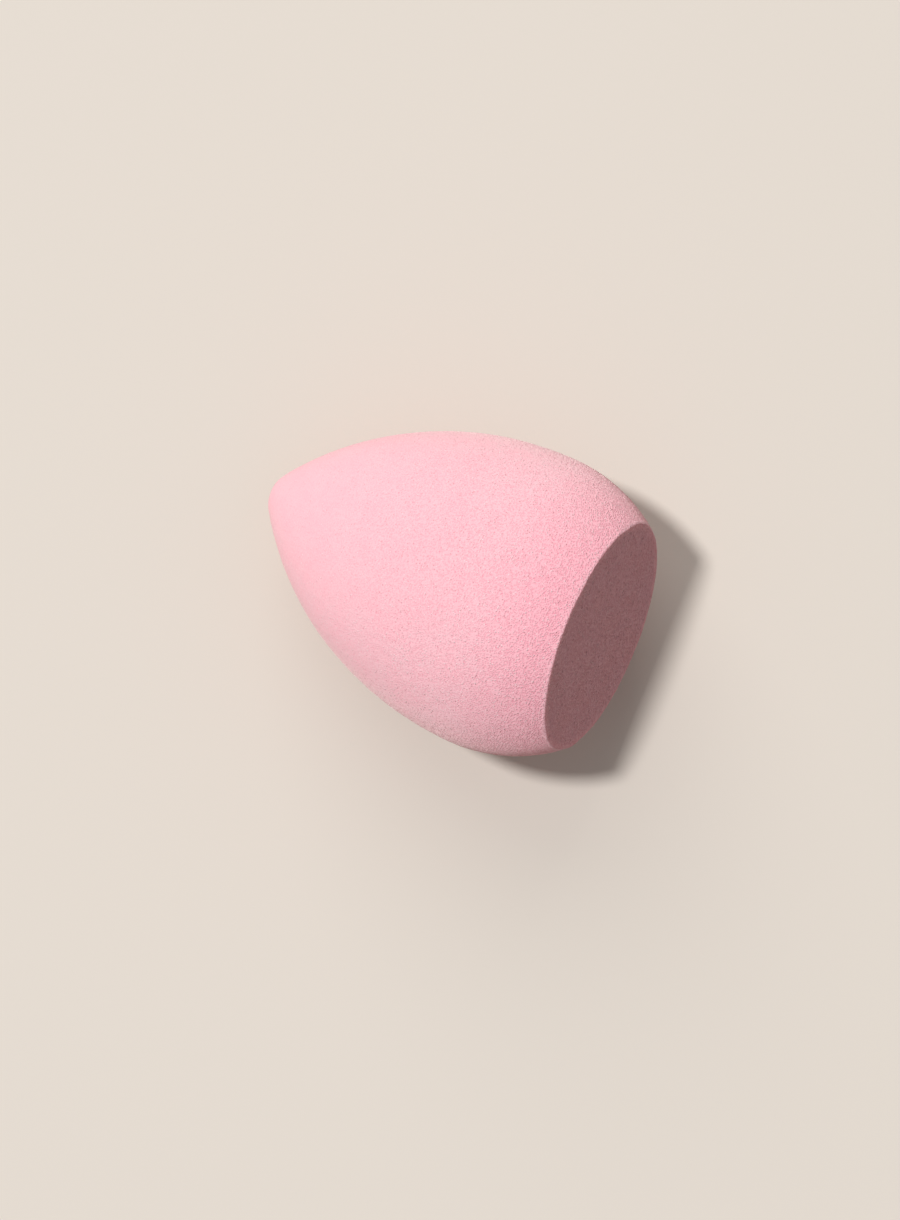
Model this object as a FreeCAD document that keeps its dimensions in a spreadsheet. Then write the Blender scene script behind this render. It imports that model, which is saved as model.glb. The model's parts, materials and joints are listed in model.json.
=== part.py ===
"""A teardrop makeup sponge, moulded in fine foam and sliced off flat at its wide end.

It lies on its side, tip low, as it comes to rest by itself. +X runs from the tip to the wide end,
+Z is up, and the origin is where the sponge's weight presses a small flat on the table.
Lengths are in millimetres and angles in degrees.
"""
import FreeCAD, Part
import Sketcher

import os
from math import cos, radians, sin, sqrt

# Driving dimensions: alias and value
SIZES = {
    # Teardrop, drawn as three tangent arcs on its own axis
    "belly_radius": 21.5,
    "tip_to_belly": 38.2,
    "tip_radius": 5.0,
    "base_arc_radius": 23.0,
    # Blade cut across the wide end, where it crosses the axis and how far it leans back
    "cut_behind_belly": 14.2,
    "cut_slant_angle": 6.6,
    # Layer of denser foam that formed against the mould
    "skin_thickness": 0.8,
    # How the sponge lies: tip down, rolled a little about its own axis, pressed flat underneath
    "rest_pitch_angle": 13.8,
    "rest_roll_angle": 23.8,
    "rest_flat_depth": 0.5,
    # How far cutting shapes reach past what they cut
    "overrun": 3.0,
}

# Sizes that follow from the driving ones
DERIVED = {
    # The flank arc is tangent to the tip's arc, and level with the axis at the belly
    "flank_arc_radius":
        "=((tip_to_belly - tip_radius)^2 + belly_radius^2 - tip_radius^2)"
        " / (2 * (belly_radius - tip_radius))",
    # The belly's centre, measured from the lowest point of the tilted flank
    "belly_forward": "=(flank_arc_radius - belly_radius) * sin(rest_pitch_angle * 1 deg)",
    "belly_height":
        "=flank_arc_radius - (flank_arc_radius - belly_radius) * cos(rest_pitch_angle * 1 deg)"
        " - rest_flat_depth",
}

doc = FreeCAD.newDocument("makeup_sponge")


def make_sheet():
    """The sheet of driving and derived dimensions, one alias a row."""
    sheet = doc.addObject("Spreadsheet::Sheet", "Sizes")
    cells = {**SIZES, **DERIVED}
    for row, (alias, value) in enumerate(cells.items(), start=1):
        sheet.set(f"A{row}", alias)
        sheet.set(f"B{row}", str(value))
        sheet.setAlias(f"B{row}", alias)
    doc.recompute()
    return sheet


def origin_plane(body, role):
    """The body's own origin plane with that role."""
    return next(plane for plane in body.Origin.OriginFeatures if plane.Role == role)


def side_sketch(body, name):
    """An empty sketch in the body's plane of symmetry: its axis runs level, up is up."""
    sketch = body.newObject("Sketcher::SketchObject", name)
    sketch.AttachmentSupport = [(origin_plane(body, "XZ_Plane"), "")]
    sketch.MapMode = "FlatFace"
    return sketch


def bind(sketch, constraint, expression):
    """Ties a sketch's dimension to the sheet."""
    sketch.setExpression(f"Constraints[{constraint}]", expression)


def arc(centre, start, end):
    """The short arc about centre, turning clockwise from start to end."""
    radius = (start - centre).Length
    middle = (start + end) / 2 - centre
    middle = centre + middle * (radius / middle.Length)
    return Part.Arc(start, middle, end)


def half_teardrop(body, name, inset_alias=None):
    """Half of the teardrop's outline above its axis, set inwards by the size named, if any.

    The three arcs keep their centres, so the inset outline is everywhere the same distance in.
    """
    inset = getattr(sheet, inset_alias) if inset_alias else 0
    less = f" - Sizes.{inset_alias}" if inset_alias else ""
    point = FreeCAD.Vector
    tip_centre = point(sheet.tip_radius - sheet.tip_to_belly, 0)
    flank_centre = point(0, sheet.belly_radius - sheet.flank_arc_radius)
    base_centre = point(0, sheet.belly_radius - sheet.base_arc_radius)
    tip = point(inset - sheet.tip_to_belly, 0)
    outward = (tip_centre - flank_centre).normalize()
    shoulder = tip_centre + outward * (sheet.tip_radius - inset)
    belly = point(0, sheet.belly_radius - inset)
    base_reach = sqrt((sheet.base_arc_radius - inset) ** 2 - base_centre.y ** 2)
    base = point(base_reach, 0)

    sketch = side_sketch(body, name)
    tip_arc = sketch.addGeometry(arc(tip_centre, tip, shoulder))
    flank_arc = sketch.addGeometry(arc(flank_centre, shoulder, belly))
    base_arc = sketch.addGeometry(arc(base_centre, belly, base))
    axis_line = sketch.addGeometry(Part.LineSegment(base, tip))

    # An arc's points run counter-clockwise: 1 is its right end here, 2 its left end, 3 its centre
    across, upright = -1, -2
    sketch.addConstraint([
        Sketcher.Constraint("Tangent", tip_arc, 1, flank_arc, 2),
        Sketcher.Constraint("Coincident", flank_arc, 1, base_arc, 2),
        Sketcher.Constraint("Coincident", base_arc, 1, axis_line, 1),
        Sketcher.Constraint("Coincident", axis_line, 2, tip_arc, 2),
        Sketcher.Constraint("PointOnObject", tip_arc, 3, across),
        Sketcher.Constraint("PointOnObject", tip_arc, 2, across),
        Sketcher.Constraint("PointOnObject", base_arc, 1, across),
        Sketcher.Constraint("PointOnObject", flank_arc, 3, upright),
        Sketcher.Constraint("PointOnObject", flank_arc, 1, upright),
        Sketcher.Constraint("PointOnObject", base_arc, 3, upright),
    ])
    origin = (-1, 1)
    tip_size = sketch.addConstraint(Sketcher.Constraint("Radius", tip_arc, sheet.tip_radius - inset))
    tip_reach = sketch.addConstraint(Sketcher.Constraint("DistanceX", tip_arc, 2, *origin, -tip.x))
    belly_size = sketch.addConstraint(Sketcher.Constraint("DistanceY", *origin, flank_arc, 1, belly.y))
    base_size = sketch.addConstraint(Sketcher.Constraint("Radius", base_arc, sheet.base_arc_radius - inset))
    bind(sketch, tip_size, f"Sizes.tip_radius{less}")
    bind(sketch, tip_reach, f"Sizes.tip_to_belly{less}")
    bind(sketch, belly_size, f"Sizes.belly_radius{less}")
    bind(sketch, base_size, f"Sizes.base_arc_radius{less}")
    return sketch


def turned(body, kind, name, sketch):
    """Turns a half outline once round the teardrop's axis, to add or to hollow out."""
    feature = body.newObject(kind, name)
    feature.Profile = sketch
    feature.ReferenceAxis = (sketch, ["H_Axis"])
    feature.Angle = 360
    sketch.Visibility = False
    doc.recompute()
    return feature


def blade_cut(body):
    """Slices off the wide end, square to the plane of symmetry and leaning back by the slant."""
    half_width = sheet.belly_radius + sheet.overrun
    depth = sheet.base_arc_radius + sheet.overrun
    slant = radians(sheet.cut_slant_angle)
    along = FreeCAD.Vector(-sin(slant), cos(slant))
    away = FreeCAD.Vector(cos(slant), sin(slant))
    crossing = FreeCAD.Vector(sheet.cut_behind_belly, 0)
    corners = [
        crossing - along * half_width,
        crossing + along * half_width,
        crossing + along * half_width + away * depth,
        crossing - along * half_width + away * depth,
    ]

    sketch = side_sketch(body, f"{body.Name}_cut_outline")
    sides = [
        sketch.addGeometry(Part.LineSegment(start, end))
        for start, end in zip(corners, corners[1:] + corners[:1])
    ]
    middle = sketch.addGeometry(Part.Point(crossing), True)
    face, upper, back, lower = sides
    for side, following in zip(sides, sides[1:] + sides[:1]):
        sketch.addConstraint(Sketcher.Constraint("Coincident", side, 2, following, 1))
    sketch.addConstraint([
        Sketcher.Constraint("Perpendicular", face, upper),
        Sketcher.Constraint("Parallel", face, back),
        Sketcher.Constraint("Parallel", upper, lower),
        Sketcher.Constraint("Symmetric", face, 1, face, 2, middle, 1),
        Sketcher.Constraint("PointOnObject", middle, 1, -1),
    ])
    place = sketch.addConstraint(Sketcher.Constraint("DistanceX", -1, 1, middle, 1, crossing.x))
    width = sketch.addConstraint(Sketcher.Constraint("Distance", face, 2 * half_width))
    reach = sketch.addConstraint(Sketcher.Constraint("Distance", upper, depth))
    lean = sketch.addConstraint(Sketcher.Constraint("Angle", upper, slant))
    bind(sketch, place, "Sizes.cut_behind_belly")
    bind(sketch, width, "2 * (Sizes.belly_radius + Sizes.overrun)")
    bind(sketch, reach, "Sizes.base_arc_radius + Sizes.overrun")
    bind(sketch, lean, "Sizes.cut_slant_angle * 1 deg")

    cut = body.newObject("PartDesign::Pocket", f"{body.Name}_cut")
    cut.Profile = sketch
    cut.Type = "Length"
    cut.SideType = "Symmetric"
    cut.setExpression("Length", "2 * (Sizes.belly_radius + Sizes.overrun)")
    sketch.Visibility = False
    doc.recompute()
    return cut


def check_smaller(before, after):
    """Stops the build where a cut took nothing away."""
    if not 0 < after.Shape.Volume < before.Shape.Volume:
        raise RuntimeError(f"{after.Name} takes nothing from {before.Name}")


def lay_down(body):
    """Tilts and rolls a body to the way the sponge lies, with its flat's centre at the origin."""
    body.setExpression(
        "Placement",
        "placement(vector(Sizes.belly_forward; 0; Sizes.belly_height);"
        " rotation(0; -Sizes.rest_pitch_angle; -Sizes.rest_roll_angle))",
    )


def make_skin_body():
    """The skin: the teardrop, sliced off, less the same teardrop set in by the skin's thickness."""
    body = doc.addObject("PartDesign::Body", "skin_body")
    whole = turned(body, "PartDesign::Revolution", "skin_teardrop", half_teardrop(body, "skin_outline"))
    sliced = blade_cut(body)
    inside = half_teardrop(body, "skin_inner_outline", "skin_thickness")
    hollow = turned(body, "PartDesign::Groove", "skin_hollow", inside)
    check_smaller(whole, sliced)
    check_smaller(sliced, hollow)
    lay_down(body)
    return body


def make_core_body():
    """The core: it fills the skin, and shows at the cut."""
    body = doc.addObject("PartDesign::Body", "core_body")
    inside = half_teardrop(body, "core_outline", "skin_thickness")
    whole = turned(body, "PartDesign::Revolution", "core_teardrop", inside)
    sliced = blade_cut(body)
    check_smaller(whole, sliced)
    lay_down(body)
    return body


def make_table():
    """A slab whose top is the table, under the whole sponge."""
    reach = "(Sizes.tip_to_belly + Sizes.base_arc_radius + Sizes.overrun)"
    slab = doc.addObject("Part::Box", "table")
    slab.setExpression("Length", f"2 * {reach}")
    slab.setExpression("Width", f"2 * {reach}")
    slab.setExpression("Height", "Sizes.rest_flat_depth + Sizes.overrun")
    slab.setExpression("Placement.Base.x", f"-{reach}")
    slab.setExpression("Placement.Base.y", f"-{reach}")
    slab.setExpression("Placement.Base.z", "-(Sizes.rest_flat_depth + Sizes.overrun)")
    return slab


def press_flat(body, table, label):
    """The sub-part itself: its body, less what would reach below the table."""
    part = doc.addObject("Part::Cut", label)
    part.Label = label
    part.Base = body
    part.Tool = table
    doc.recompute()
    return part


def check_document(parts):
    """Stops the build if anything failed, or a sub-part isn't one sound solid."""
    for item in doc.Objects:
        if "Invalid" in item.State or "Error" in item.State:
            raise RuntimeError(f"{item.Name} failed: {item.State}")
    for part in parts:
        if part.Shape.isNull() or not part.Shape.isValid():
            raise RuntimeError(f"{part.Label} has no valid shape")
        if len(part.Shape.Solids) != 1:
            raise RuntimeError(f"{part.Label} is {len(part.Shape.Solids)} solids")


sheet = make_sheet()
skin_body = make_skin_body()
core_body = make_core_body()
table = make_table()
parts = [
    press_flat(skin_body, table, "moulded_skin"),
    press_flat(core_body, table, "foam_core"),
]
doc.recompute()
check_document(parts)
check_smaller(skin_body, parts[0])

os.makedirs("parts", exist_ok=True)
for part in parts:
    part.Shape.exportStep(f"parts/{part.Label}.step")
    print(f"{part.Label}: {part.Shape.Volume:.1f} mm3, {part.Shape.Area:.1f} mm2")
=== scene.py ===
"""The looks of a teardrop makeup sponge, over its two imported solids. Lengths are in metres."""
import json
from math import pi, radians, tau

import bpy
import numpy as np
from mathutils import Matrix, Vector, noise


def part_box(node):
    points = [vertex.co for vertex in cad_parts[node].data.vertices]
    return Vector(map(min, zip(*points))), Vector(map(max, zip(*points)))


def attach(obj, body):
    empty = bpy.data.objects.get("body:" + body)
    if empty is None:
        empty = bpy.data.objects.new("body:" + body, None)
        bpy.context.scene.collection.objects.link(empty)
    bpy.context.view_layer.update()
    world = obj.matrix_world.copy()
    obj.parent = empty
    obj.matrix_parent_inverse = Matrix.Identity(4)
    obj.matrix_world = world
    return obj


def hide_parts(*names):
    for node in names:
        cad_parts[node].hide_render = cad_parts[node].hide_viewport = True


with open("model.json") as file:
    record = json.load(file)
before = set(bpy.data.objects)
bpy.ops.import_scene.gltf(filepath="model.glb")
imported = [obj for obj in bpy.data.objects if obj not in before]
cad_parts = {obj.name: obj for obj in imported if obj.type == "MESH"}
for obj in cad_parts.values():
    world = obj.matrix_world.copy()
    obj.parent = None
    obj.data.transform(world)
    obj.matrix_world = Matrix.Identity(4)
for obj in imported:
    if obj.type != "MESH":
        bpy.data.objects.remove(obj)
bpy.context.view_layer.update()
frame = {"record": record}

# The teardrop, in the sizes of the solids. A run is a length along its outline, from the tip
BELLY_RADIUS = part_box("moulded_skin")[1].y
TIP_TO_BELLY = 0.0382
TIP_RADIUS = 0.0050
BASE_ARC_RADIUS = 0.0230
SKIN_THICKNESS = 0.0008
FLANK_ARC_RADIUS = (
    ((TIP_TO_BELLY - TIP_RADIUS) ** 2 + BELLY_RADIUS**2 - TIP_RADIUS**2)
    / (2 * (BELLY_RADIUS - TIP_RADIUS))
)
FLANK_CENTRE_DROP = FLANK_ARC_RADIUS - BELLY_RADIUS
BASE_CENTRE_DROP = BASE_ARC_RADIUS - BELLY_RADIUS
FLANK_END_ANGLE = pi - np.arctan2(FLANK_CENTRE_DROP, TIP_TO_BELLY - TIP_RADIUS)
TIP_RUN = TIP_RADIUS * (pi - FLANK_END_ANGLE)
FLANK_RUN = FLANK_ARC_RADIUS * (FLANK_END_ANGLE - pi / 2)

# How the teardrop lies, and where it is cut
REST_PITCH = radians(13.8)
REST_FLAT_DEPTH = 0.0005
AXIS_TURN = Matrix.Rotation(-REST_PITCH, 3, "Y")
BELLY_CENTRE = Vector((
    FLANK_CENTRE_DROP * np.sin(REST_PITCH),
    0,
    FLANK_ARC_RADIUS - FLANK_CENTRE_DROP * np.cos(REST_PITCH) - REST_FLAT_DEPTH,
))
CUT_MOUNT = next(mount for mount in frame["record"]["mounts"] if mount["name"] == "cut_face")
CUT_NORMAL = Vector(CUT_MOUNT["axis"]).normalized()
CUT_POINT = Vector(CUT_MOUNT["pos_m"])

# Meshes: how many points and rings they have, and how the rings are spaced
AROUND = 440
AZIMUTHS = np.arange(AROUND) / AROUND * tau
OUTER_RINGS = 190
NEAR_EDGE_RUNS = (0.0010, 0.0007, 0.0005, 0.00035)
EDGE_RINGS = 7
RIM_RINGS = 3
CUT_RINGS = 80
HIDDEN_RINGS = 22
HIDDEN_SPREAD = 1.3
SHARP_EDGE = radians(40)

# Unevenness of the foam: wavelength and height of each size of bump
SKIN_BUMPS = ((0.0090, 0.00006), (0.0013, 0.000025), (0.0006, 0.000030))
CUT_BUMPS = ((0.0120, 0.00004), (0.0015, 0.000015), (0.0007, 0.000014))
EDGE_NICKS = ((0.0042, 0.00013), (0.0016, 0.00006))
EDGE_RADIUS = 0.0005
SKIN_SEED = 1.3
CUT_SEED = 7.7
EDGE_SEED = 3.1

# Shares that the skin's points carry for its materials: the way from tip to cut, and painted edge light
# along the edge
GROWTH_ATTRIBUTE = "growth_share"
EDGE_ATTRIBUTE = "edge_share"

# Where each feature of the foam sets in and is full, as shares, tones or random draws from 0 to 1
WALL_SHARES = (0.15, 0.75)
HOLLOW_SHARES = (0.8, 0.2)
OPEN_DRAWS = (0.970, 0.985)
TORN_DRAWS = (0.980, 0.990)
DOT_SHARES = (0.13, 0.34)
PORE_DRAWS = (0.45, 0.40)
FLECK_DRAWS = (0.66, 0.71)
HOLLOW_SHADE_TONES = (0.5, 0.2)
WALL_HIGHLIGHT_TONES = (0.5, 0.8)
ROUGH_TONES = (0.2, 0.8)
EDGE_GLINT_SHARES = (0.5, 0.7)
MOTTLE_SHARES = (0.35, 0.65)
BASE_SHARES = (0.75, 1)

# Shading that the skin and the cut have in common
CELL_SHARE = 0.7
PORE_DEPTH_SHARE = 0.9
MOTTLE_DETAIL = 3.0
GRAIN_DETAIL = 2.0
ROUGHNESSES = (0.95, 0.72)
FOAM_SHADER = {"Diffuse Roughness": 0.6, "Specular IOR Level": 0.15, "Sheen Roughness": 0.3}

# The moulded skin: fine near the tip, coarser toward the cut, its pink deeper toward the cut as painted
# shade. Scales count features in a metre
SKIN_LOOK = {
    "colour": (0.93, 0.553, 0.615, 1),
    # A deeper pink toward the cut: painted shade near the side turned from the light
    "base_colour": (1.0, 0.505, 0.592, 1),
    "mottle_colour": (0.985, 0.50, 0.575, 1),
    # The four colours below are painted shade in the cell hollows, a painted highlight, painted shade in
    # the pores, and painted edge light
    "hollow_shade_colour": (0.88, 0.31, 0.41, 1),
    "highlight_colour": (1.0, 0.84, 0.86, 1),
    "pore_shade_colour": (0.82, 0.33, 0.375, 1),
    "edge_light_colour": (1.0, 0.76, 0.80, 1),
    "mottle_scale": 260.0,
    "mottle_depth": 0.3,
    "grain_scale": 5000.0,
    "cell_scale": 3900.0,
    "least_growth": 0.15,
    "base_growth": 0.35,
    "hollow_shade_depth": 0.24,
    "wall_highlight_depth": 0.16,
    "open_shade_depth": 0.6,
    "torn_glint_depth": 0.6,
    "pore_scale": 2700.0,
    "least_dots": 0.35,
    "pore_shade_depth": 0.48,
    "fleck_glint_depth": 0.65,
    "edge_light_depth": 0.4,
    "edge_glint_depth": 0.3,
    "bump_height": 0.00008,
    "sheen": 0.30,
    "sheen_tint": (0.88, 0.93, 0.84, 1),
}

# The cut foam, even up to its edge, and darker all over than the skin: painted shade of the shadowed cut
# face. The core carries no shares, which then count as 0
CUT_LOOK = {
    "colour": (0.79, 0.39, 0.46, 1),
    # A lighter pink on the rim: painted edge light
    "base_colour": (0.83, 0.41, 0.48, 1),
    "mottle_colour": (0.80, 0.36, 0.41, 1),
    # The four colours below are painted shade in the cell hollows, a painted highlight, painted shade in
    # the pores, and painted edge light
    "hollow_shade_colour": (0.62, 0.22, 0.25, 1),
    "highlight_colour": (0.98, 0.74, 0.76, 1),
    "pore_shade_colour": (0.45, 0.18, 0.21, 1),
    "edge_light_colour": (1.0, 0.42, 0.49, 1),
    "mottle_scale": 200.0,
    "mottle_depth": 0.4,
    "grain_scale": 4600.0,
    "cell_scale": 3400.0,
    "least_growth": 1.0,
    "base_growth": 0.0,
    "hollow_shade_depth": 0.26,
    "wall_highlight_depth": 0.18,
    "open_shade_depth": 0.5,
    "torn_glint_depth": 0.4,
    "pore_scale": 1500.0,
    "least_dots": 1.0,
    "pore_shade_depth": 0.45,
    "fleck_glint_depth": 0.3,
    "edge_light_depth": 0.45,
    "edge_glint_depth": 0.7,
    "bump_height": 0.00012,
    "sheen": 0.2,
    "sheen_tint": (1.0, 0.90, 0.90, 1),
}

# A Mix node's sockets for colours, which share their names with its other sockets
MIX_FIRST_COLOUR = 6
MIX_SECOND_COLOUR = 7
MIX_RESULT_COLOUR = 2

# Camera: it looks straight down, and its pixels are those of the 900 by 1220 picture
IMAGE_WIDTH = 900
IMAGE_HEIGHT = 1220
TIP_PIXEL_X = 272.9
TIP_PIXEL_Y = 490.8
FOCAL_PIXELS = 4300
CAMERA_HEIGHT_OVER_TIP = 0.6075
VIEW_TURN = radians(24.76)
SENSOR_MM = 36

# Stage and light. Azimuths go from the right of the picture toward its top
FLOOR_HALF = 2.0
FLOOR_CORNER_SIGNS = ((-1, -1), (1, -1), (1, 1), (-1, 1))
FLOOR_COLOUR = (0.74, 0.68, 0.615, 1)
FLOOR_BOUNCE_COLOUR = (0.43, 0.29, 0.19, 1)
WORLD_FILL_COLOUR = (1, 1, 1, 1)
WORLD_FILL = 0.27
LAMP_DISTANCE = 5.0
KEY_AZIMUTH = radians(154)
KEY_ELEVATION = radians(68)
KEY_SIZE = 0.50
KEY_LEVEL = 0.68
KEY_COLOUR = (1, 0.99, 0.985)
SIDE_AZIMUTH = radians(108)
SIDE_ELEVATION = radians(40)
SIDE_SIZE = 4.0
SIDE_LEVEL = 0.29
SIDE_COLOUR = (1, 0.99, 0.95)


def run_to_outline(run, inset):
    """Points (along, out) of the half outline at each run, moved in by inset, and the normals there."""
    tip_angle = pi - run / TIP_RADIUS
    flank_angle = FLANK_END_ANGLE - (run - TIP_RUN) / FLANK_ARC_RADIUS
    base_angle = pi / 2 - (run - TIP_RUN - FLANK_RUN) / BASE_ARC_RADIUS
    on_tip = run < TIP_RUN
    on_flank = run < TIP_RUN + FLANK_RUN
    angle = np.where(on_tip, tip_angle, np.where(on_flank, flank_angle, base_angle))
    radius = np.where(on_tip, TIP_RADIUS, np.where(on_flank, FLANK_ARC_RADIUS, BASE_ARC_RADIUS)) - inset
    drop = np.where(on_tip, 0, np.where(on_flank, FLANK_CENTRE_DROP, BASE_CENTRE_DROP))
    centre = np.where(on_tip, TIP_RADIUS - TIP_TO_BELLY, 0)
    along = centre + radius * np.cos(angle)
    out = radius * np.sin(angle) - drop
    return along, out, np.cos(angle), np.sin(angle)


def rim_run(inset):
    """The run at which the surface, moved in by inset, meets the cut at each azimuth."""
    normal = AXIS_TURN.transposed() @ CUT_NORMAL
    distance = CUT_NORMAL.dot(CUT_POINT - BELLY_CENTRE)
    outward = normal.y * np.cos(AZIMUTHS) + normal.z * np.sin(AZIMUTHS)
    # On the base arc the cut is where normal.x * cos(angle) + outward * sin(angle) equals reach
    reach = (distance + outward * BASE_CENTRE_DROP) / (BASE_ARC_RADIUS - inset)
    angle = np.arctan2(outward, normal.x) + np.arccos(reach / np.hypot(normal.x, outward))
    return TIP_RUN + FLANK_RUN + BASE_ARC_RADIUS * (pi / 2 - angle)


def to_world(along, out):
    """Directions from the belly's centre, one for each azimuth, turned as the sponge lies."""
    local = np.stack([along, out * np.cos(AZIMUTHS), out * np.sin(AZIMUTHS)], axis=-1)
    return local @ np.array(AXIS_TURN).T


def surface_ring(run, inset):
    """Places and outward normals of one ring of the teardrop."""
    along, out, along_normal, out_normal = run_to_outline(run, inset)
    places = to_world(along, out) + np.array(BELLY_CENTRE)
    normals = to_world(along_normal, out_normal)
    return places, normals


def relief(places, bumps, seed):
    """Height of the uneven foam at each place."""
    shift = Vector((seed, -seed, seed))
    heights = np.zeros(len(places))
    for wavelength, height in bumps:
        heights += [height * noise.noise(Vector(place) / wavelength + shift) for place in places]
    return heights[:, None]


def skin_surface(run):
    """One ring of the uneven outside."""
    places, normals = surface_ring(run, 0)
    return places + normals * relief(places, SKIN_BUMPS, SKIN_SEED)


def cut_surface(places):
    """Places in the plane of the cut, as uneven as the blade leaves it."""
    return places + np.array(CUT_NORMAL) * relief(places, CUT_BUMPS, CUT_SEED)


def edge_surface():
    """Rings round the soft edge of the cut, uneven as the blade and the foam's cells leave it."""
    corner, outward = surface_ring(rim_run(0), 0)
    cut_normal = np.array(CUT_NORMAL)
    facing = (outward @ cut_normal)[:, None]
    across = outward - facing * cut_normal
    across /= np.linalg.norm(across, axis=1)[:, None]
    # The middle of an arc that touches both surfaces, moved in and out by the nicks
    middle = corner - (outward + cut_normal) * EDGE_RADIUS / (1 + facing)
    middle += across * relief(corner, EDGE_NICKS, EDGE_SEED)
    skin_relief = relief(corner, SKIN_BUMPS, SKIN_SEED)
    cut_relief = relief(corner, CUT_BUMPS, CUT_SEED)
    rings = []
    for share in np.linspace(0, 1, EDGE_RINGS):
        direction = outward * (1 - share) + cut_normal * share
        direction /= np.linalg.norm(direction, axis=1)[:, None]
        rings.append(middle + direction * (EDGE_RADIUS + skin_relief * (1 - share) + cut_relief * share))
    return rings


def hidden_surface():
    """Rings of the bond between skin and core, from the cut to closer ones at the tip, and its end."""
    whole_run = rim_run(SKIN_THICKNESS)
    shares = np.linspace(1, 0, HIDDEN_RINGS + 2) ** HIDDEN_SPREAD
    rings = [surface_ring(whole_run * share, SKIN_THICKNESS)[0] for share in shares]
    return rings[:-1], rings[-1][0]


def loft(first, rings, last):
    """Vertices and faces of a closed surface through the rings, from a first point to a last one."""
    count = len(rings[0])
    places = np.vstack([first[None, :], *rings, last[None, :]])
    end = len(places) - 1
    faces = []
    for i in range(count):
        j = (i + 1) % count
        faces.append((0, 1 + j, 1 + i))
        for k in range(len(rings) - 1):
            low = 1 + k * count
            high = low + count
            faces.append((low + i, low + j, high + j, high + i))
        top = end - count
        faces.append((end, top + i, top + j))
    return places, faces


def add_object(name, data):
    """A new object of the scene."""
    added = bpy.data.objects.new(name, data)
    bpy.context.scene.collection.objects.link(added)
    return added


def add_piece(name, places, faces):
    """A smooth mesh, pressed flat where it lies on the table."""
    places[:, 2] = np.maximum(places[:, 2], 0)
    mesh = bpy.data.meshes.new(name)
    mesh.from_pydata(places.tolist(), [], faces)
    mesh.shade_smooth()
    mesh.set_sharp_from_angle(angle=SHARP_EDGE)
    return add_object(name, mesh)


def set_shares(piece, name, ring_shares):
    """Writes a share for each ring of the piece, and the first and last of them for its two end points."""
    shares = np.concatenate([ring_shares[:1], np.repeat(ring_shares, AROUND), ring_shares[-1:]])
    piece.data.attributes.new(name, "FLOAT", "POINT").data.foreach_set("value", shares)


def make_skin(skin_material, cut_material):
    """The outside from tip to cut, the soft edge, the rim that the cut shows, and the bond inside."""
    whole_run = rim_run(0)
    outer_shares = np.arange(1, OUTER_RINGS) / OUTER_RINGS
    runs = [share * (whole_run - NEAR_EDGE_RUNS[0]) for share in outer_shares]
    runs += [whole_run - near_run for near_run in NEAR_EDGE_RUNS]
    outer = [skin_surface(run) for run in runs]
    edge = edge_surface()
    hidden, inner_tip = hidden_surface()
    rim_shares = np.linspace(0, 1, RIM_RINGS + 1)[1:]
    rim = [edge[-1] + (cut_surface(hidden[0]) - edge[-1]) * share for share in rim_shares]
    tip = skin_surface(np.zeros(AROUND))[0]
    piece = add_piece("sponge_skin", *loft(tip, outer + edge + rim + hidden[1:], inner_tip))
    piece.data.materials.append(skin_material)
    piece.data.materials.append(cut_material)
    first_cut_vertex = 1 + (len(outer) + EDGE_RINGS // 2) * AROUND
    for face in piece.data.polygons:
        face.material_index = int(min(face.vertices) >= first_cut_vertex)
    # Growth is full at the cut. Painted edge light sets in beside the edge and fades across the rim
    inside = np.zeros(HIDDEN_RINGS)
    growth = np.concatenate([np.linspace(0, 1, len(outer)), np.ones(EDGE_RINGS + RIM_RINGS), inside])
    no_edge_light = np.zeros(len(outer) - len(NEAR_EDGE_RUNS))
    edge_light_rise = np.linspace(0, 1, len(NEAR_EDGE_RUNS) + EDGE_RINGS)
    edge_light = np.concatenate([no_edge_light, edge_light_rise, 1 - rim_shares, inside])
    set_shares(piece, GROWTH_ATTRIBUTE, growth)
    set_shares(piece, EDGE_ATTRIBUTE, edge_light)
    return piece


def make_core(material):
    """The bond from the tip to the cut, and the cut face from its rim to its middle."""
    hidden, tip = hidden_surface()
    middle = hidden[0].mean(axis=0)
    shares = np.arange(1, CUT_RINGS + 1) / CUT_RINGS
    cut = [cut_surface(middle + (hidden[0] - middle) * share) for share in shares]
    rings = hidden[:0:-1] + cut[::-1]
    piece = add_piece("sponge_core", *loft(tip, rings, cut_surface(middle[None, :])[0]))
    piece.data.materials.append(material)
    return piece


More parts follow.
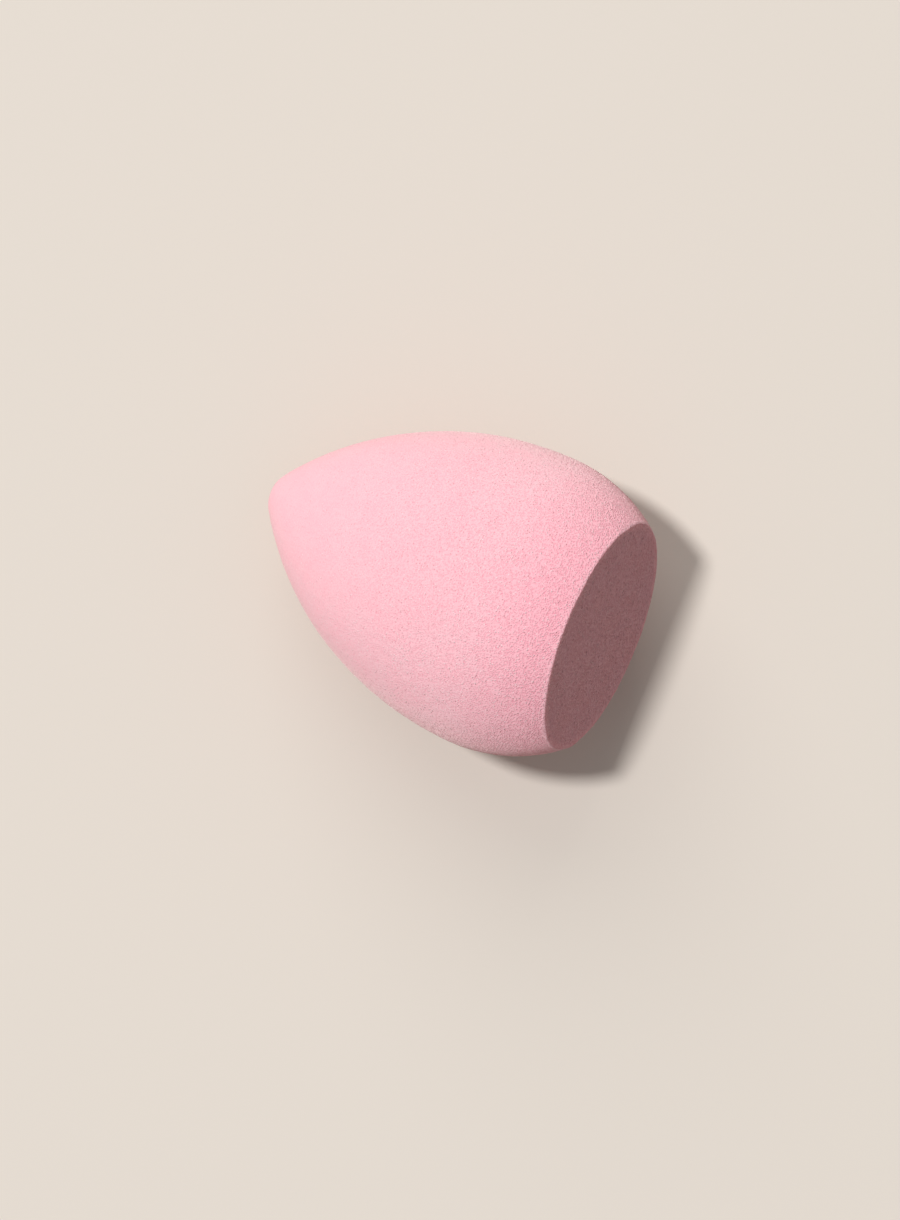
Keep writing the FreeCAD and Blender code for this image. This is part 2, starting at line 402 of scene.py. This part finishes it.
class Tree:
    """The nodes of a material or a world, with short calls to add and join them."""

    def __init__(self, owner):
        owner.use_nodes = True
        self.nodes = owner.node_tree.nodes
        self.links = owner.node_tree.links

    def add(self, kind, inputs=(), **settings):
        """A new node with these settings and inputs, which are values or the sockets to join."""
        node = self.nodes.new("ShaderNode" + kind)
        for key, value in settings.items():
            setattr(node, key, value)
        for key, value in dict(inputs).items():
            self.put(node.inputs[key], value)
        return node

    def put(self, socket, value):
        if isinstance(value, bpy.types.NodeSocket):
            self.links.new(value, socket)
        else:
            socket.default_value = value

    def remap(self, value, source, result):
        """A value eased from one range into another."""
        sockets = {"Value": value, "From Min": source[0], "From Max": source[1]}
        sockets |= {"To Min": result[0], "To Max": result[1]}
        return self.add("MapRange", sockets, interpolation_type="SMOOTHSTEP").outputs["Result"]

    def math(self, operation, one, other):
        return self.add("Math", {0: one, 1: other}, operation=operation).outputs[0]

    def times(self, one, other):
        return self.math("MULTIPLY", one, other)

    def plus(self, one, other):
        return self.math("ADD", one, other)

    def blend(self, share, one, other):
        """One colour with a share of the other."""
        sockets = {"Factor": share, MIX_FIRST_COLOUR: one, MIX_SECOND_COLOUR: other}
        return self.add("Mix", sockets, data_type="RGBA").outputs[MIX_RESULT_COLOUR]

    def by_ray(self, lighting, seen):
        """The seen shader on rays that show it, straight or in gloss or glass, and lighting on others."""
        rays = self.add("LightPath").outputs
        share = rays["Is Camera Ray"]
        for kind in ("Is Glossy Ray", "Is Transmission Ray"):
            share = self.math("MAXIMUM", share, rays[kind])
        return self.add("MixShader", {"Fac": share, 1: lighting, 2: seen}).outputs["Shader"]


def cell_shares(t, look, place, growth):
    """How near each point of the foam is to a cell's wall, with painted shade in a few open cells and
    painted glints in a few torn ones.
    """
    cells = t.add("TexVoronoi", {"Vector": place, "Scale": look["cell_scale"]})
    draw = t.add("SeparateColor", {"Color": cells.outputs["Color"]})
    wall = t.remap(cells.outputs["Distance"], WALL_SHARES, (0, 1))
    hollow = t.times(t.remap(wall, HOLLOW_SHARES, (0, 1)), growth)
    # Painted shade in a few open cells and painted glints in a few torn ones, only in their hollows
    open_cell_shade = t.times(hollow, t.remap(draw.outputs["Red"], OPEN_DRAWS, (0, look["open_shade_depth"])))
    torn_cell_glint = t.times(hollow, t.remap(draw.outputs["Green"], TORN_DRAWS, (0, look["torn_glint_depth"])))
    return wall, open_cell_shade, torn_cell_glint


def dot_shares(t, look, place, toward_cut):
    """Dots that stand apart from each other: sunken pores, which carry painted shade, and raised flecks,
    which carry painted glints.
    """
    dots = t.add("TexVoronoi", {"Vector": place, "Scale": look["pore_scale"]})
    draw = t.add("SeparateColor", {"Color": dots.outputs["Color"]}).outputs["Red"]
    dot = t.remap(dots.outputs["Distance"], DOT_SHARES, (1, 0))
    dot = t.times(dot, t.remap(toward_cut, (0, 1), (look["least_dots"], 1)))
    pore = t.times(dot, t.remap(draw, PORE_DRAWS, (0, 1)))
    glint_fleck = t.times(dot, t.remap(draw, FLECK_DRAWS, (0, 1)))
    return pore, glint_fleck


def foam_material(name, look):
    """Fine open-cell foam: soft mottling, painted shade in the cell hollows, open cells and pores, painted
    highlights on the cell walls, torn cells and flecks, and painted edge light along the edge.
    """
    material = bpy.data.materials.new(name)
    t = Tree(material)
    place = t.add("TexCoord").outputs["Object"]
    mottle = t.add("TexNoise", {"Vector": place, "Scale": look["mottle_scale"], "Detail": MOTTLE_DETAIL})
    grain = t.add("TexNoise", {"Vector": place, "Scale": look["grain_scale"], "Detail": GRAIN_DETAIL})
    toward_cut = t.add("Attribute", attribute_name=GROWTH_ATTRIBUTE).outputs["Fac"]
    edge_light = t.add("Attribute", attribute_name=EDGE_ATTRIBUTE).outputs["Fac"]
    growth = t.remap(toward_cut, (0, 1), (look["least_growth"], 1))
    wall, open_cell_shade, torn_cell_glint = cell_shares(t, look, place, growth)
    pore, glint_fleck = dot_shares(t, look, place, toward_cut)
    tone = t.plus(t.times(wall, CELL_SHARE), t.times(grain.outputs["Fac"], 1 - CELL_SHARE))
    # Painted shade in the cell hollows and painted highlight on the raised cell walls, over the foam's own
    # grain, both stronger toward the cut
    hollow_shade = t.times(t.remap(tone, HOLLOW_SHADE_TONES, (0, look["hollow_shade_depth"])), growth)
    wall_highlight = t.times(t.remap(tone, WALL_HIGHLIGHT_TONES, (0, look["wall_highlight_depth"])), growth)
    mottling = t.remap(mottle.outputs["Fac"], MOTTLE_SHARES, (0, look["mottle_depth"]))
    # Painted glints on fibres along the edge
    edge_glints = t.times(edge_light, t.remap(grain.outputs["Fac"], EDGE_GLINT_SHARES, (0, look["edge_glint_depth"])))
    # Toward the cut the colour turns to base_colour: on the skin a deeper pink, painted shade; on the rim
    # of the cut a lighter pink, painted edge light
    colour = t.blend(t.remap(toward_cut, BASE_SHARES, (0, 1)), look["colour"], look["base_colour"])
    layers = (
        (mottling, "mottle_colour"),
        (hollow_shade, "hollow_shade_colour"),
        (wall_highlight, "highlight_colour"),
        (open_cell_shade, "hollow_shade_colour"),
        (torn_cell_glint, "highlight_colour"),
        # Painted shade in the sunken pores
        (t.times(pore, look["pore_shade_depth"]), "pore_shade_colour"),
        # Painted glints on the raised flecks
        (t.times(glint_fleck, look["fleck_glint_depth"]), "highlight_colour"),
        # Painted edge light: paler on the skin where the edge catches light, rosier on the cut where light
        # shows through the thin edge
        (t.times(edge_light, look["edge_light_depth"]), "edge_light_colour"),
        (edge_glints, "highlight_colour"),
    )
    for share, layer_colour in layers:
        colour = t.blend(share, colour, look[layer_colour])
    coarseness = t.plus(growth, t.remap(toward_cut, BASE_SHARES, (0, look["base_growth"])))
    dot_height = t.plus(glint_fleck, t.times(pore, -PORE_DEPTH_SHARE))
    height = t.plus(t.times(tone, coarseness), dot_height)
    bump = t.add("Bump", {"Height": height, "Distance": look["bump_height"]})
    surface = {
        "Base Color": colour,
        "Roughness": t.remap(tone, ROUGH_TONES, ROUGHNESSES),
        "Normal": bump.outputs["Normal"],
        "Sheen Weight": look["sheen"],
        "Sheen Tint": look["sheen_tint"],
    }
    shader = t.nodes["Principled BSDF"]
    for socket, value in (surface | FOAM_SHADER).items():
        t.put(shader.inputs[socket], value)
    return material


def make_camera():
    """A camera that sees the tip at its pixel of the picture."""
    data = bpy.data.cameras.new("camera")
    # The sensor spans the longer side of the picture
    data.sensor_fit = "AUTO"
    data.sensor_width = SENSOR_MM
    data.lens = SENSOR_MM * FOCAL_PIXELS / IMAGE_HEIGHT
    camera = add_object("camera", data)
    turn = Matrix.Rotation(VIEW_TURN, 3, "Z")
    pixel = CAMERA_HEIGHT_OVER_TIP / FOCAL_PIXELS
    tip = BELLY_CENTRE + AXIS_TURN @ Vector((-TIP_TO_BELLY, 0, 0))
    aside = Vector((IMAGE_WIDTH / 2 - TIP_PIXEL_X, TIP_PIXEL_Y - IMAGE_HEIGHT / 2, 0)) * pixel
    camera.location = tip + turn @ aside + Vector((0, 0, CAMERA_HEIGHT_OVER_TIP))
    camera.rotation_euler = (0, 0, VIEW_TURN)
    bpy.context.scene.camera = camera


def make_floor():
    """A pale floor, which sends less light back up than the camera sees."""
    material = bpy.data.materials.new("floor")
    t = Tree(material)
    t.nodes.clear()
    bounce = t.add("BsdfDiffuse", {"Color": FLOOR_BOUNCE_COLOUR}).outputs["BSDF"]
    seen = t.add("BsdfDiffuse", {"Color": FLOOR_COLOUR}).outputs["BSDF"]
    t.add("OutputMaterial", {"Surface": t.by_ray(bounce, seen)})
    corners = [(FLOOR_HALF * x_sign, FLOOR_HALF * y_sign, 0) for x_sign, y_sign in FLOOR_CORNER_SIGNS]
    mesh = bpy.data.meshes.new("floor")
    mesh.from_pydata(corners, [], [range(len(corners))])
    mesh.materials.append(material)
    floor = add_object("floor", mesh)


def make_world():
    """Even white light from all round, and the floor's colour where the camera sees past the floor."""
    world = bpy.data.worlds.new("world")
    bpy.context.scene.world = world
    t = Tree(world)
    t.nodes.clear()
    fill = t.add("Background", {"Color": WORLD_FILL_COLOUR, "Strength": WORLD_FILL}).outputs["Background"]
    seen = t.add("Background", {"Color": FLOOR_COLOUR}).outputs["Background"]
    t.add("OutputWorld", {"Surface": t.by_ray(fill, seen)})


def make_lamp(name, azimuth, elevation, size, level, colour):
    """A round soft lamp, seen from the sponge at an azimuth and an elevation."""
    data = bpy.data.lights.new(name, "AREA")
    data.shape = "DISK"
    data.size = size
    data.color = colour
    # A white surface that faces the lamp is then as bright as level
    data.energy = level * (pi * LAMP_DISTANCE) ** 2
    lamp = add_object(name, data)
    turn = azimuth + VIEW_TURN
    flat = Vector((np.cos(turn), np.sin(turn), 0)) * np.cos(elevation)
    toward = flat + Vector((0, 0, np.sin(elevation)))
    lamp.location = BELLY_CENTRE + toward * LAMP_DISTANCE
    lamp.rotation_mode = "QUATERNION"
    lamp.rotation_quaternion = toward.to_track_quat("Z", "Y")


make_camera()
make_floor()
make_world()
make_lamp("key", KEY_AZIMUTH, KEY_ELEVATION, KEY_SIZE, KEY_LEVEL, KEY_COLOUR)
make_lamp("side", SIDE_AZIMUTH, SIDE_ELEVATION, SIDE_SIZE, SIDE_LEVEL, SIDE_COLOUR)
bpy.context.scene.view_settings.view_transform = "Standard"

skin_foam = foam_material("foam_skin", SKIN_LOOK)
cut_foam = foam_material("foam_cut", CUT_LOOK)
skin = make_skin(skin_foam, cut_foam)
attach(skin, "root")
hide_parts("moulded_skin")

core = make_core(cut_foam)
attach(core, "root")
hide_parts("foam_core")
